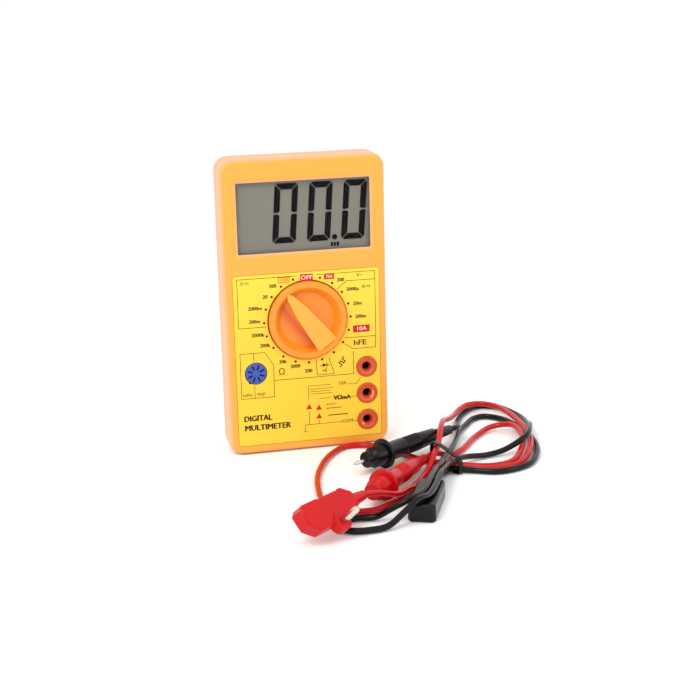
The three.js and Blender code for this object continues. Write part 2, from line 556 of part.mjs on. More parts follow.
// One tie closes the hank: a flat ring standing across the strands.
const TIE = { at: [57.5, -61.5, 0], across: [0.35, -0.94, 0], width: 2.4, thick: 0.65 };
const tieRing = (grow) => {
  const s = new THREE.Shape();
  s.moveTo(-11 - grow, 3);
  s.quadraticCurveTo(-11 - grow, 0.7 - grow, -8.6, 0.7 - grow);
  s.lineTo(10, 0.7 - grow);
  s.quadraticCurveTo(11.5 + grow, 0.7 - grow, 11.5 + grow, 2.2);
  s.lineTo(11.5 + grow, 4.6);
  s.quadraticCurveTo(11.3 + grow, 8 + grow, 8.6, 8.3 + grow);
  s.lineTo(-5, 10.8 + grow);
  s.quadraticCurveTo(-11 - grow, 11.6 + grow, -11 - grow, 8);
  s.closePath();
  return new THREE.ExtrudeGeometry(s, { depth: TIE.width, bevelEnabled: false, curveSegments: 5 })
    .translate(0, 0, -TIE.width / 2);
};
const opening = tieRing(0).scale(1, 1, 2);
const ring = geometryOf(cut(solid(tieRing(TIE.thick)), [opening])).rotateX(Math.PI / 2);
add("tie", placed(ring, TIE.at, TIE.across, [0, 0, 1]), 0x161616);

export default group;
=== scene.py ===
import math

import bmesh
import bpy
from mathutils import Matrix, Vector


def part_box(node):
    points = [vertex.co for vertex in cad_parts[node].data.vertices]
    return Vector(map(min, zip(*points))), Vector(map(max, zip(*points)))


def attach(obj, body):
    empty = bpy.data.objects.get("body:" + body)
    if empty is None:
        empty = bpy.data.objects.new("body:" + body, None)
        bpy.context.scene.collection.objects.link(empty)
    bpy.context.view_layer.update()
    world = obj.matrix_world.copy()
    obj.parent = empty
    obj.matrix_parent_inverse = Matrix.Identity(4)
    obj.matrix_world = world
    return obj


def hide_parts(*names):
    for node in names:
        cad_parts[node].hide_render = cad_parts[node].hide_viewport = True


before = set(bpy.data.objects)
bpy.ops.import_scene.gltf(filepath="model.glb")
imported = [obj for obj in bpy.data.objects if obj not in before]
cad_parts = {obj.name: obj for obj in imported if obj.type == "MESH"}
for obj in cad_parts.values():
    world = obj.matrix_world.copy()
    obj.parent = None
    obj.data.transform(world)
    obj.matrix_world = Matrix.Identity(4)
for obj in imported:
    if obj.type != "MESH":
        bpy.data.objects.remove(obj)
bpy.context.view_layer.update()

MM = 0.001

# --- Floor, light and camera.
# A seamless white sweep under a bright tent: one large soft lamp high on the left, a weaker one on the
# right. The camera stands low in front and a little to the left of the meter.
floor_mesh = bpy.data.meshes.new("floor")
floor_mesh.from_pydata([(-60, -60, 0), (60, -60, 0), (60, 60, 0), (-60, 60, 0)], [], [(0, 1, 2, 3)])
floor = bpy.data.objects.new("floor", floor_mesh)
floor.location.z = -0.00005
bpy.context.scene.collection.objects.link(floor)
paper = bpy.data.materials.new("white_paper_sweep")
paper.use_nodes = True
paper.node_tree.nodes["Principled BSDF"].inputs["Base Color"].default_value = (0.97, 0.97, 0.97, 1)
paper.node_tree.nodes["Principled BSDF"].inputs["Roughness"].default_value = 0.9
paper.node_tree.nodes["Principled BSDF"].inputs["Specular IOR Level"].default_value = 0.1
floor_mesh.materials.append(paper)

tent = bpy.data.worlds.new("white_tent")
bpy.context.scene.world = tent
tent.use_nodes = True
tent.node_tree.nodes["Background"].inputs["Color"].default_value = (1, 1, 1, 1)
tent.node_tree.nodes["Background"].inputs["Strength"].default_value = 1.08


def softbox(name, place, size, watts):
    lamp = bpy.data.lights.new(name, "AREA")
    lamp.shape = "RECTANGLE"
    lamp.size = lamp.size_y = size
    lamp.energy = watts
    holder = bpy.data.objects.new(name, lamp)
    bpy.context.scene.collection.objects.link(holder)
    holder.location = place
    aim = Vector((0.02, -0.03, 0.06)) - Vector(place)
    holder.rotation_euler = aim.to_track_quat("-Z", "Y").to_euler()


softbox("softbox_left", (-0.55, -0.65, 0.95), 0.45, 5.2)
softbox("softbox_right", (0.9, -0.7, 0.5), 0.6, 1.8)

lens = bpy.data.cameras.new("camera")
lens.lens = 74.13
lens.sensor_width = 36
camera = bpy.data.objects.new("camera", lens)
bpy.context.scene.collection.objects.link(camera)
right = Vector((0.97158, -0.23566, -0.02228))
up = Vector((0.08127, 0.24367, 0.96645))
forward = Vector((0.22233, 0.94079, -0.2559))
turn = Matrix((right, up, -forward)).transposed().to_4x4()
camera.matrix_world = Matrix.Translation((-0.14248, -0.70713, 0.24026)) @ turn
bpy.context.scene.camera = camera
bpy.context.scene.view_settings.view_transform = "Standard"

# --- Lead cords.
# Each is about 0.7 m of limp stranded wire in soft vinyl, 3 mm thick, moulded into its plug at one end
# and into its probe at the other. Both lie folded in loops on the floor, crossing over the black plug and
# each other.
CORD_D = 0.003
RED_ROUTE = [
    (2.8, -115.2, 11.7), (10.6, -111.1, 10), (21.2, -104.6, 6), (28.7, -95.9, 4.6), (36.9, -87.8, 2.4),
    (48, -73.6, 1.8), (57.8, -65.8, 2.6), (67.5, -68.4, 1.7), (80, -72.8, 1.65), (93, -69, 1.7),
    (104, -54.5, 3.4),
    (110.5, -36, 4.8), (112.8, -14, 4.9), (112.3, 4, 4.9), (110, 15, 4.9), (104, 22, 4.9), (96.5, 22, 5),
    (89.5, 15.5, 5), (83, 6, 5), (74.5, -9.5, 8.2), (66.5, -27, 13.1), (62.3, -37.3, 13.1),
    (56.6, -51, 9.2), (51.2, -61.5, 7.4),
    (48, -67, 4.7), (43.9, -72, 2.2), (34, -85.5, 1.7), (22, -101, 1.65), (8, -110.3, 1.65),
    (-4, -107.5, 1.65),
    (-11.2, -95, 1.65), (-10, -74, 1.65), (-4.5, -51.5, 1.65), (6, -29.5, 1.65), (17.5, -17.8, 1.65),
    (28, -19.5, 1.65), (39, -33, 1.65), (50.5, -53.5, 1.7), (55, -60, 2.8), (65, -63.4, 1.75),
    (79, -68.6, 1.65),
    (91, -65.1, 1.8), (101, -51, 3.4), (107, -34, 4.8), (106.5, -18, 4.8), (98, -13, 2.8), (86, -22.5, 1.65),
    (71.5, -42, 1.65), (63.8, -48.3, 1.7), (55.8, -53, 5.4), (51.6, -54.2, 5.2), (48, -57.6, 5.1),
]
BLACK_ROUTE = [
    (45.1, -85.2, 4.3), (50.7, -75.3, 2.2), (58.8, -69.3, 2.6), (68, -72.2, 1.7), (80, -77.3, 1.65),
    (96, -72.5, 1.65),
    (107, -57, 1.65), (113, -34, 1.65), (111.5, -7, 1.65), (107.5, 4, 1.65), (101, 9.3, 1.65),
    (94.2, 6.8, 1.65), (88, -1, 1.65),
    (80.5, -12, 1.75), (72, -31, 3.2), (64.8, -47.3, 5.1), (57.5, -60.5, 5.9), (53.5, -67.5, 6.1),
    (45.5, -84.5, 9),
    (37, -103, 10.5), (30, -116, 10.5), (21, -124, 10.5), (14, -122.8, 7), (6.5, -119.4, 2.1),
    (-1, -117.3, 1.65),
    (-7.6, -118.8, 1.65), (-11.2, -122.9, 1.65), (-11, -127.9, 1.65), (-7, -131.8, 1.65),
    (0.5, -133.1, 1.7), (9, -132, 2.2),
    (17, -129.8, 7), (23.8, -127.2, 11), (31.5, -119.8, 10.3), (40.3, -104, 10.5), (45, -94, 10.4),
    (50, -83.5, 8.2),
    (60, -66.8, 6), (70, -57.5, 3.6), (82, -52.8, 1.8), (92, -51.4, 3.2), (103.5, -48.8, 8), (112, -33, 8.3),
    (118, -12, 3.4), (119, 8, 1.7), (113.5, 24, 1.65), (103.5, 28.2, 1.65), (92.5, 18.5, 1.65),
    (83.2, 2, 1.8),
    (79.5, -9.5, 4), (77.3, -18.6, 6.6), (74.5, -25.4, 8.6), (70.8, -28.2, 8.9),
]


def smooth_route(points, gap=0.0012):
    """A centripetal Catmull-Rom curve through given millimetre points, as close metre points."""
    p = [Vector(v) * MM for v in points]
    p = [p[0] * 2 - p[1], *p, p[-1] * 2 - p[-2]]
    out = [p[1]]
    for a, b, c, d in zip(p, p[1:], p[2:], p[3:]):
        t0 = math.sqrt((b - a).length)
        t1 = math.sqrt((c - b).length)
        t2 = math.sqrt((d - c).length)
        m1 = ((b - a) / t0 - (c - a) / (t0 + t1) + (c - b) / t1) * t1
        m2 = ((c - b) / t1 - (d - b) / (t1 + t2) + (d - c) / t2) * t1
        steps = max(3, round((c - b).length / gap))
        for k in range(1, steps + 1):
            t = k / steps
            out.append(
                b * (2 * t**3 - 3 * t**2 + 1) + m1 * (t**3 - 2 * t**2 + t)
                + c * (3 * t**2 - 2 * t**3) + m2 * (t**3 - t**2)
            )
    return out


def srgb(r, g, b):
    """A display colour, 0 to 255 in each channel, as the linear values that a shader takes."""
    return [(v / 255 / 12.92) if v < 11 else ((v / 255 + 0.055) / 1.055) ** 2.4 for v in (r, g, b)] + [1]


def finish_material(
    name, colour, rough=(0.3, 0.4), metal=0.0, grain=2500, bump=0.00002, tint=0.06, specular=0.5
):
    """A finish with fine grain: noise drives roughness, a faint change of colour and a shallow bump."""
    mat = bpy.data.materials.new(name)
    mat.use_nodes = True
    nodes, links = mat.node_tree.nodes, mat.node_tree.links
    shader = nodes["Principled BSDF"]
    shader.inputs["Metallic"].default_value = metal
    shader.inputs["Specular IOR Level"].default_value = specular
    place = nodes.new("ShaderNodeTexCoord")
    fine = nodes.new("ShaderNodeTexNoise")
    fine.inputs["Scale"].default_value = grain
    fine.inputs["Detail"].default_value = 3
    broad = nodes.new("ShaderNodeTexNoise")
    broad.inputs["Scale"].default_value = 60
    broad.inputs["Detail"].default_value = 4
    links.new(place.outputs["Object"], fine.inputs["Vector"])
    links.new(place.outputs["Object"], broad.inputs["Vector"])
    shine = nodes.new("ShaderNodeMapRange")
    shine.inputs["To Min"].default_value, shine.inputs["To Max"].default_value = rough
    links.new(broad.outputs["Fac"], shine.inputs["Value"])
    links.new(shine.outputs["Result"], shader.inputs["Roughness"])
    shade = nodes.new("ShaderNodeMix")
    shade.data_type = "RGBA"
    shade.inputs["A"].default_value = [c * (1 - tint) for c in colour[:3]] + [1]
    shade.inputs["B"].default_value = [min(1, c * (1 + tint)) for c in colour[:3]] + [1]
    links.new(broad.outputs["Fac"], shade.inputs["Factor"])
    links.new(shade.outputs["Result"], shader.inputs["Base Color"])
    relief = nodes.new("ShaderNodeBump")
    relief.inputs["Strength"].default_value = 0.35
    relief.inputs["Distance"].default_value = bump
    links.new(fine.outputs["Fac"], relief.inputs["Height"])
    links.new(relief.outputs["Normal"], shader.inputs["Normal"])
    return mat


red_vinyl = finish_material(
    "red_vinyl", srgb(192, 5, 13), rough=(0.16, 0.28), grain=1400, bump=0.00003, specular=0.3,
)
black_vinyl = finish_material(
    "black_vinyl", srgb(4, 4, 5), rough=(0.16, 0.28), grain=1400, bump=0.00003, specular=0.25,
)


def laid_cord(name, node, points, mat):
    curve = bpy.data.curves.new(name, "CURVE")
    curve.dimensions = "3D"
    curve.bevel_depth = CORD_D / 2
    curve.bevel_resolution = 4
    curve.use_fill_caps = True
    spline = curve.splines.new("POLY")
    route = smooth_route(points)
    spline.points.add(len(route) - 1)
    for point, place in zip(spline.points, route):
        point.co = (*place, 1)
    spline.use_smooth = True
    curve.materials.append(mat)
    cord = bpy.data.objects.new(name, curve)
    bpy.context.scene.collection.objects.link(cord)
    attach(cord, "leads")
    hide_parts(node)
    length = sum((b - a).length for a, b in zip(route, route[1:]))
    return cord, route, length


red_cord, red_line, red_length = laid_cord("red_lead_cord", "red_cord", RED_ROUTE, red_vinyl)
black_cord, black_line, black_length = laid_cord(
    "black_lead_cord", "black_cord", BLACK_ROUTE, black_vinyl,
)


# --- Plugs.
# Solid vinyl mouldings over 4 mm pins. The red one is a flat ribbed body with its pin on a hub, the black
# one is a plain block with its pin sunk in a bore. A tapered sleeve carries each cord out of the back.
def smooth_copy(node, name, mat, body, bevel=0.0, sharp=38, clean=True):
    """A piece as one merged mesh: flat faces joined, edges eased, and round faces shaded round."""
    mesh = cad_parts[node].data.copy()
    mesh.name = name
    bm = bmesh.new()
    bm.from_mesh(mesh)
    bmesh.ops.remove_doubles(bm, verts=bm.verts, dist=2e-6)
    if clean:
        bmesh.ops.dissolve_limit(bm, angle_limit=math.radians(0.6), verts=bm.verts, edges=bm.edges)
    bm.to_mesh(mesh)
    bm.free()
    piece = bpy.data.objects.new(name, mesh)
    bpy.context.scene.collection.objects.link(piece)
    if bevel:
        ease = piece.modifiers.new("eased_edges", "BEVEL")
        ease.width = bevel
        ease.segments = 2
        ease.limit_method = "ANGLE"
        ease.angle_limit = math.radians(sharp)
        ease.use_clamp_overlap = True
    bpy.context.view_layer.update()
    final = bpy.data.meshes.new_from_object(piece.evaluated_get(bpy.context.evaluated_depsgraph_get()))
    piece.modifiers.clear()
    piece.data = final
    final.shade_smooth()
    final.set_sharp_from_angle(angle=math.radians(sharp))
    weigh = piece.modifiers.new("flat_faces_stay_flat", "WEIGHTED_NORMAL")
    weigh.keep_sharp = True
    bpy.context.view_layer.update()
    weighed = bpy.data.meshes.new_from_object(piece.evaluated_get(bpy.context.evaluated_depsgraph_get()))
    piece.modifiers.clear()
    piece.data = weighed
    weighed.name = name
    weighed.materials.clear()
    weighed.materials.append(mat)
    for face in weighed.polygons:
        face.material_index = 0
    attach(piece, body)
    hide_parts(node)
    return piece


red_moulding = finish_material(
    "red_moulding", srgb(190, 6, 14), rough=(0.24, 0.36), grain=1800, bump=0.00002, specular=0.25,
)
black_moulding = finish_material(
    "black_moulding", srgb(5, 4, 6), rough=(0.22, 0.34), grain=1800, bump=0.00004, specular=0.25,
)
nickel = finish_material(
    "nickel_plating", srgb(214, 206, 192), rough=(0.12, 0.26), metal=1.0, grain=3000, bump=0.00001,
)
red_plug = smooth_copy(
    "red_plug_body", "red_plug_moulding", red_moulding, "leads", bevel=0.0003,
)
black_plug = smooth_copy(
    "black_plug_body", "black_plug_moulding", black_moulding, "leads", bevel=0.0003,
)
red_pin = smooth_copy("red_plug_pin", "red_plug_pin_metal", nickel, "leads", bevel=0.0001)
black_pin = smooth_copy("black_plug_pin", "black_plug_pin_metal", nickel, "leads", bevel=0.0001)


# --- Probes.
# A turned-looking vinyl handle with a finger guard, a waisted nose and fine grip rings, over a steel
# needle. They are moulded on the cord, which leaves through the thin rear end.
def turned_piece(name, node, profile, origin, along, mat, sides=40):
    """A closed body of revolution from [radius, distance] pairs in millimetres along a line."""
    axis = Vector(along).normalized()
    across = axis.orthogonal().normalized()
    other = axis.cross(across)
    bm = bmesh.new()
    rings = []
    for radius, distance in profile:
        middle = Vector(origin) + axis * distance
        if radius == 0:
            rings.append([bm.verts.new(middle * MM)])
            continue
        ring = []
        for k in range(sides):
            a = math.tau * k / sides
            ring.append(bm.verts.new((middle + (across * math.cos(a) + other * math.sin(a)) * radius) * MM))
        rings.append(ring)
    for low, high in zip(rings, rings[1:]):
        for k in range(sides):
            j = (k + 1) % sides
            if len(low) == 1:
                bm.faces.new((low[0], high[k], high[j]))
            elif len(high) == 1:
                bm.faces.new((low[j], low[k], high[0]))
            else:
                bm.faces.new((low[k], high[k], high[j], low[j]))
    bmesh.ops.recalc_face_normals(bm, faces=bm.faces)
    mesh = bpy.data.meshes.new(name)
    bm.to_mesh(mesh)
    bm.free()
    mesh.shade_smooth()
    mesh.set_sharp_from_angle(angle=math.radians(42))
    mesh.materials.append(mat)
    piece = bpy.data.objects.new(name, mesh)
    bpy.context.scene.collection.objects.link(piece)
    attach(piece, "leads")
    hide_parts(node)
    return piece


grip = []
for k in range(7):
    start = -14 - k * 1.5
    grip += [[4.55, start], [4.25, start - 0.3], [4.25, start - 0.8], [4.5, start - 1.1]]
HANDLE = [
    [0, -49], [2.2, -49], [2.4, -48.7], [2.9, -38], [3.4, -37.2], [3.8, -36.4], [4.25, -27],
    *reversed(grip), [4.7, -13.2], [4.7, -2.1], [5.0, -1.7], [7.0, -1.6], [7.45, -1.3], [7.6, -0.8],
    [7.6, -0.5],
    [7.4, 0], [7.0, 0.2], [5.3, 0.2], [5.2, 0.6], [5.3, 7.2], [5.0, 7.6], [3.7, 8.4], [3.4, 8.8],
    [3.4, 9.3], [3.8, 9.7],
    [4.1, 10.1], [4.1, 11.5], [3.8, 12], [0, 12],
]
NEEDLE = [[0, 12.3], [0.95, 12.3], [0.95, 17.6], [0.8, 18.4], [0.35, 20.1], [0, 20.5]]
PROBES = {
    "red": {"origin": (16.1, -96.2, 7.9), "along": (-0.637, -0.77, 0.057), "mat": red_moulding},
    "black": {"origin": (27.5, -53, 7.9), "along": (-0.867, -0.499, -0.02), "mat": black_moulding},
}
steel_needle = finish_material(
    "needle_steel", srgb(205, 206, 208), rough=(0.14, 0.28), metal=1.0, grain=3000, bump=0.00001,
)
for colour, probe in PROBES.items():
    handle = turned_piece(
        f"{colour}_probe_grip", f"{colour}_probe_handle", HANDLE, probe["origin"], probe["along"],
        probe["mat"],
    )
    needle = turned_piece(
        f"{colour}_probe_needle", f"{colour}_probe_tip", NEEDLE, probe["origin"], probe["along"],
        steel_needle,
        sides=20,
    )

# --- Tie.
# A flat strip of black vinyl-covered wire bent round the hank and closed on itself.
tie = smooth_copy("tie", "hank_tie", black_vinyl, "leads", bevel=0.0001)

# --- Case.
# Two shells moulded in one orange plastic, held together by four screws from the back. The skin has a fine
# spark-eroded grain that leaves it half glossy.
orange_case = finish_material(
    "orange_case", srgb(240, 162, 58), rough=(0.32, 0.44), grain=2600, bump=0.00005, tint=0.04,
)


def paint_light_and_shade(mat, colour, amount, axis, start, stop, move=(0, 0, 0), spin=0.0):
    """Paints light or shade into a finish: blends a second colour over it along one axis of the object, from
    start to stop in metres.
    """
    nodes, links = mat.node_tree.nodes, mat.node_tree.links
    shader = nodes["Principled BSDF"]
    under = shader.inputs["Base Color"].links[0].from_socket
    place = nodes.new("ShaderNodeTexCoord")
    frame_turn = nodes.new("ShaderNodeMapping")
    frame_turn.vector_type = "TEXTURE"
    frame_turn.inputs["Location"].default_value = move
    frame_turn.inputs["Rotation"].default_value = (0, spin, 0)
    split = nodes.new("ShaderNodeSeparateXYZ")
    ramp = nodes.new("ShaderNodeMapRange")
    ramp.interpolation_type = "SMOOTHSTEP"
    ramp.inputs["From Min"].default_value = start
    ramp.inputs["From Max"].default_value = stop
    ramp.inputs["To Max"].default_value = amount
    mix = nodes.new("ShaderNodeMix")
    mix.data_type = "RGBA"
    mix.inputs["B"].default_value = colour
    links.new(place.outputs["Object"], frame_turn.inputs["Vector"])
    links.new(frame_turn.outputs["Vector"], split.inputs["Vector"])
    links.new(split.outputs[axis], ramp.inputs["Value"])
    links.new(ramp.outputs["Result"], mix.inputs["Factor"])
    links.new(under, mix.inputs["A"])
    links.new(mix.outputs["Result"], shader.inputs["Base Color"])
    return ramp, mix


# The shells' sides are painted paler than the face: a painted sheen of grazing light on the one orange
# plastic. The second blend paints the back in the face's orange again.
PAINTED_SHEEN_START, PAINTED_SHEEN_FULL = -0.01235, -0.0112
BACK_START, BACK_FULL = 0.0095, 0.0135
paint_light_and_shade(orange_case, srgb(222, 170, 134), 0.75, "Y", PAINTED_SHEEN_START, PAINTED_SHEEN_FULL)
paint_light_and_shade(orange_case, srgb(240, 162, 58), 0.85, "Y", BACK_START, BACK_FULL)
front_shell = smooth_copy("front_case", "front_shell", orange_case, "meter", sharp=46)
rear_shell = smooth_copy("rear_case", "rear_shell", orange_case, "rear_cover", sharp=46)
zinc = finish_material(
    "zinc_screws", srgb(150, 152, 156), rough=(0.25, 0.4), metal=1.0, grain=1800, bump=0.00002,
)
for k in range(1, 5):
    smooth_copy(f"rear_screw_{k}", f"case_screw_{k}", zinc, "rear_cover", sharp=30)

# --- Display.
# A liquid-crystal cell behind a clear window, with three lit digits, a point and a small sign made by its
# electrodes. The cell's back reflector gives the grey ground its faint pearl.
window_low, window_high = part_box("lcd_window")
glass_low, glass_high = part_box("lcd_glass")
clear = bpy.data.materials.new("clear_window")
clear.use_nodes = True
clear_shader = clear.node_tree.nodes["Principled BSDF"]
clear_shader.inputs["Base Color"].default_value = (0.1, 0.11, 0.11, 1)
clear_shader.inputs["Roughness"].default_value = 0.06
clear_shader.inputs["Alpha"].default_value = 0.04
clear_shader.inputs["Specular IOR Level"].default_value = 0.15
smears = clear.node_tree.nodes.new("ShaderNodeTexNoise")
smears.inputs["Scale"].default_value = 90
smear_place = clear.node_tree.nodes.new("ShaderNodeTexCoord")
smear_bump = clear.node_tree.nodes.new("ShaderNodeBump")
smear_bump.inputs["Distance"].default_value = 0.000004
clear.node_tree.links.new(smear_place.outputs["Object"], smears.inputs["Vector"])
clear.node_tree.links.new(smears.outputs["Fac"], smear_bump.inputs["Height"])
clear.node_tree.links.new(smear_bump.outputs["Normal"], clear_shader.inputs["Normal"])
smooth_copy("lcd_window", "display_window", clear, "meter", sharp=30)
cell_grey = finish_material(
    "display_ground", srgb(127, 124, 114), rough=(0.35, 0.5), grain=900, bump=0.00001, tint=0.03,
    specular=0.2,
)
smooth_copy("lcd_glass", "display_cell", cell_grey, "meter", sharp=30)
segment_black = finish_material(
    "display_segments", srgb(2, 2, 3), rough=(0.6, 0.7), grain=1500, bump=0.00001, specular=0.03,
)


def thin_solid(bm, outline, y_front, y_back):
    """Adds a flat closed solid with this outline of (x, z) points, in metres, facing the front."""
    front = [bm.verts.new((x, y_front, z)) for x, z in outline]
    back = [bm.verts.new((x, y_back, z)) for x, z in outline]
    bm.faces.new(front)
    bm.faces.new(reversed(back))
    for k in range(len(outline)):
        j = (k + 1) % len(outline)
        bm.faces.new((front[j], front[k], back[k], back[j]))


def printed_piece(name, bm, mat):
    bmesh.ops.recalc_face_normals(bm, faces=bm.faces)
    mesh = bpy.data.meshes.new(name)
    bm.to_mesh(mesh)
    bm.free()
    mesh.materials.append(mat)
    piece = bpy.data.objects.new(name, mesh)
    bpy.context.scene.collection.objects.link(piece)
    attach(piece, "meter")
    return piece


DIGIT = {
    "wide": 12.0 * MM, "high": 30.0 * MM, "stroke": 3.1 * MM, "lean": 0.075, "foot": 108.3 * MM,
    "pitch": 17.6 * MM,
}


def digit_bars(left):
    """The six lit bars of a nought: mitred where they nearly meet, and cut short at mid height."""
    w, h, t = DIGIT["wide"], DIGIT["high"], DIGIT["stroke"]
    gap, cut, half = 0.16 * MM, 0.7 * MM, DIGIT["high"] / 2
    top = [
        (cut + gap, h - cut), (cut * 2, h), (w - cut * 2, h), (w - cut - gap, h - cut),
        (w - t - gap, h - t), (t + gap, h - t),
    ]
    post = [
        (0, h - cut * 2), (cut - gap, h - cut - gap), (t - gap, h - t - gap), (t, h - t - 2 * gap),
        (t, half + cut * 1.4),
    ]
    post += [(t * 0.62, half + cut * 0.5), (t * 0.2, half + cut * 0.5), (0, half + cut)]
    bars = [top, post, [(w - x, z) for x, z in post]]
    bars += [[(x, h - z) for x, z in bar] for bar in bars]
    return [[(left + x + z * DIGIT["lean"], DIGIT["foot"] + z) for x, z in bar] for bar in bars]


segments = bmesh.new()
segment_front = glass_low.y - 0.00014
segment_back = glass_low.y - 0.00004
for k in range(3):
    for outline in digit_bars(-16.1 * MM + k * DIGIT["pitch"]):
        thin_solid(segments, outline, segment_front, segment_back)
point_ring = [
    ((15.9 + 1.4 * math.cos(math.tau * k / 20)) * MM, (109.9 + 1.4 * math.sin(math.tau * k / 20)) * MM)
    for k in range(20)
]
thin_solid(segments, point_ring, segment_front, segment_back)


def set_type(
    bm, words, x, z, cap, y_middle, align="CENTER", half_depth=0.00003, wide=1.0, fit=0.0, passes=1
):
    """Adds a line of lettering as thin closed solids, standing in the face. Sizes are in millimetres."""
    font = bpy.data.curves.new("type", "FONT")
    font.body = words
    font.size = cap / 0.73 * MM
    font.align_x = align
    font.align_y = "CENTER"
    font.resolution_u = 2
    font.extrude = half_depth
    line = bpy.data.objects.new("type", font)
    bpy.context.scene.collection.objects.link(line)
    bpy.context.view_layer.update()
    if fit:
        wide = fit * MM / line.dimensions.x
    mesh = bpy.data.meshes.new_from_object(line.evaluated_get(bpy.context.evaluated_depsgraph_get()))
    stand = Matrix.Translation((x * MM, y_middle, z * MM)) @ Matrix.Rotation(math.pi / 2, 4, "X")
    mesh.transform(stand @ Matrix.Diagonal((wide, 1, 1, 1)))
    for _ in range(passes):
        bm.from_mesh(mesh)
        mesh.transform(Matrix.Translation((0.2 * MM, 0.000002, 0.06 * MM)))
    bpy.data.objects.remove(line)
    bpy.data.curves.remove(font)
    bpy.data.meshes.remove(mesh)


# The small sign under the last digit is too fine to carry letters: three plain marks.
for k in range(3):
    x0 = (13.8 + k * 1.55) * MM
    outline = [(x0, 105.3 * MM), (x0 + 1.15 * MM, 105.3 * MM), (x0 + 1.15 * MM, 107.3 * MM), (x0, 107.3 * MM)]
    thin_solid(segments, outline, segment_front, segment_back)
bmesh.ops.remove_doubles(segments, verts=segments.verts, dist=1e-7)
printed_piece("display_digits", segments, segment_black)

# --- Face label.
# A yellow film with the ranges screen-printed round the knob: black and red inks, and a white ink over
# the red boxes. It lies in a shallow recess of the front shell.
label_film = finish_material(
    "label_film", srgb(243, 197, 58), rough=(0.34, 0.46), grain=2200, bump=0.00002, tint=0.05, specular=0.3,
)
# Painted light: the film is painted a paler yellow towards its top, where more light falls.
paint_light_and_shade(label_film, srgb(250, 209, 66), 0.9, "Z", 0.05, 0.1)
label_low, label_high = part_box("face_label")
smooth_copy("face_label", "range_label", label_film, "meter", sharp=30)
black_ink = finish_material(
    "black_ink", srgb(52, 44, 20), rough=(0.4, 0.5), grain=2600, bump=0.00001, specular=0.1,
)
red_ink = finish_material(
    "red_ink", srgb(196, 40, 34), rough=(0.4, 0.5), grain=2600, bump=0.00001, specular=0.1,
)
white_ink = finish_material("white_ink", srgb(255, 236, 222), rough=(0.4, 0.5), grain=2600, bump=0.00001)
INK_BACK = label_low.y - 0.00001
INK_FRONT = label_low.y - 0.00006
INK_MIDDLE = (INK_BACK + INK_FRONT) / 2
DIAL_Z = 69.0
DOT_RING = 22.35


def rule(bm, points, width=0.24):
    """Printed line through (x, z) points in millimetres."""
    for (x0, z0), (x1, z1) in zip(points, points[1:]):
        a = Vector((x0, z0)) * MM
        b = Vector((x1, z1)) * MM
        step = (b - a).normalized() * width * MM / 2
        side = Vector((-step.y, step.x))
        a, b = a - step, b + step
        thin_solid(
            bm, [tuple(a + side), tuple(b + side), tuple(b - side), tuple(a - side)], INK_FRONT, INK_BACK,
        )


def dot(bm, x, z, r, sides=16):
    ring = [
        ((x + r * math.cos(math.tau * k / sides)) * MM, (z + r * math.sin(math.tau * k / sides)) * MM)
        for k in range(sides)
    ]
    thin_solid(bm, ring, INK_FRONT, INK_BACK)


def panel(bm, x, z, wide, high):
    x0, x1 = (x - wide / 2) * MM, (x + wide / 2) * MM
    z0, z1 = (z - high / 2) * MM, (z + high / 2) * MM
    thin_solid(bm, [(x0, z0), (x1, z0), (x1, z1), (x0, z1)], INK_FRONT, INK_BACK)


def ink(bm, words, x, z, cap=1.9, **more):
    set_type(bm, words, x, z, cap, INK_MIDDLE, half_depth=(INK_BACK - INK_FRONT) / 2, **more)


black = bmesh.new()
red = bmesh.new()
white = bmesh.new()


def dial_dots_tree(material):
    """Dots spaced evenly round the dial, without the one at the top, where the off panel stands."""
    tree = bpy.data.node_groups.new("dial_dots", "GeometryNodeTree")
    face = tree.interface
    face.new_socket("Geometry", in_out="INPUT", socket_type="NodeSocketGeometry")
    face.new_socket("Positions", in_out="INPUT", socket_type="NodeSocketInt")
    for size in ("Ring Radius", "Dot Radius", "Ink Thickness", "Top Cut"):
        face.new_socket(size, in_out="INPUT", socket_type="NodeSocketFloat")
    face.new_socket("Geometry", in_out="OUTPUT", socket_type="NodeSocketGeometry")
    nodes, links = tree.nodes, tree.links
    given = nodes.new("NodeGroupInput")
    result = nodes.new("NodeGroupOutput")
    ring = nodes.new("GeometryNodeMeshCircle")
    mark = nodes.new("GeometryNodeMeshCylinder")
    mark.inputs["Vertices"].default_value = 16
    where = nodes.new("GeometryNodeInputPosition")
    split = nodes.new("ShaderNodeSeparateXYZ")
    below_top = nodes.new("FunctionNodeCompare")
    below_top.data_type = "FLOAT"
    below_top.operation = "LESS_THAN"
    place = nodes.new("GeometryNodeInstanceOnPoints")
    plain = nodes.new("GeometryNodeRealizeInstances")
    inked = nodes.new("GeometryNodeSetMaterial")
    inked.inputs["Material"].default_value = material
    links.new(given.outputs["Positions"], ring.inputs["Vertices"])
    links.new(given.outputs["Ring Radius"], ring.inputs["Radius"])
    links.new(given.outputs["Dot Radius"], mark.inputs["Radius"])
    links.new(given.outputs["Ink Thickness"], mark.inputs["Depth"])
    links.new(where.outputs["Position"], split.inputs["Vector"])
    links.new(split.outputs["Y"], below_top.inputs[0])
    links.new(given.outputs["Top Cut"], below_top.inputs[1])
    links.new(ring.outputs["Mesh"], place.inputs["Points"])
    links.new(below_top.outputs["Result"], place.inputs["Selection"])
    links.new(mark.outputs["Mesh"], place.inputs["Instance"])
    links.new(place.outputs["Instances"], plain.inputs["Geometry"])
    links.new(plain.outputs["Geometry"], inked.inputs["Geometry"])
    links.new(inked.outputs["Geometry"], result.inputs["Geometry"])
    return tree


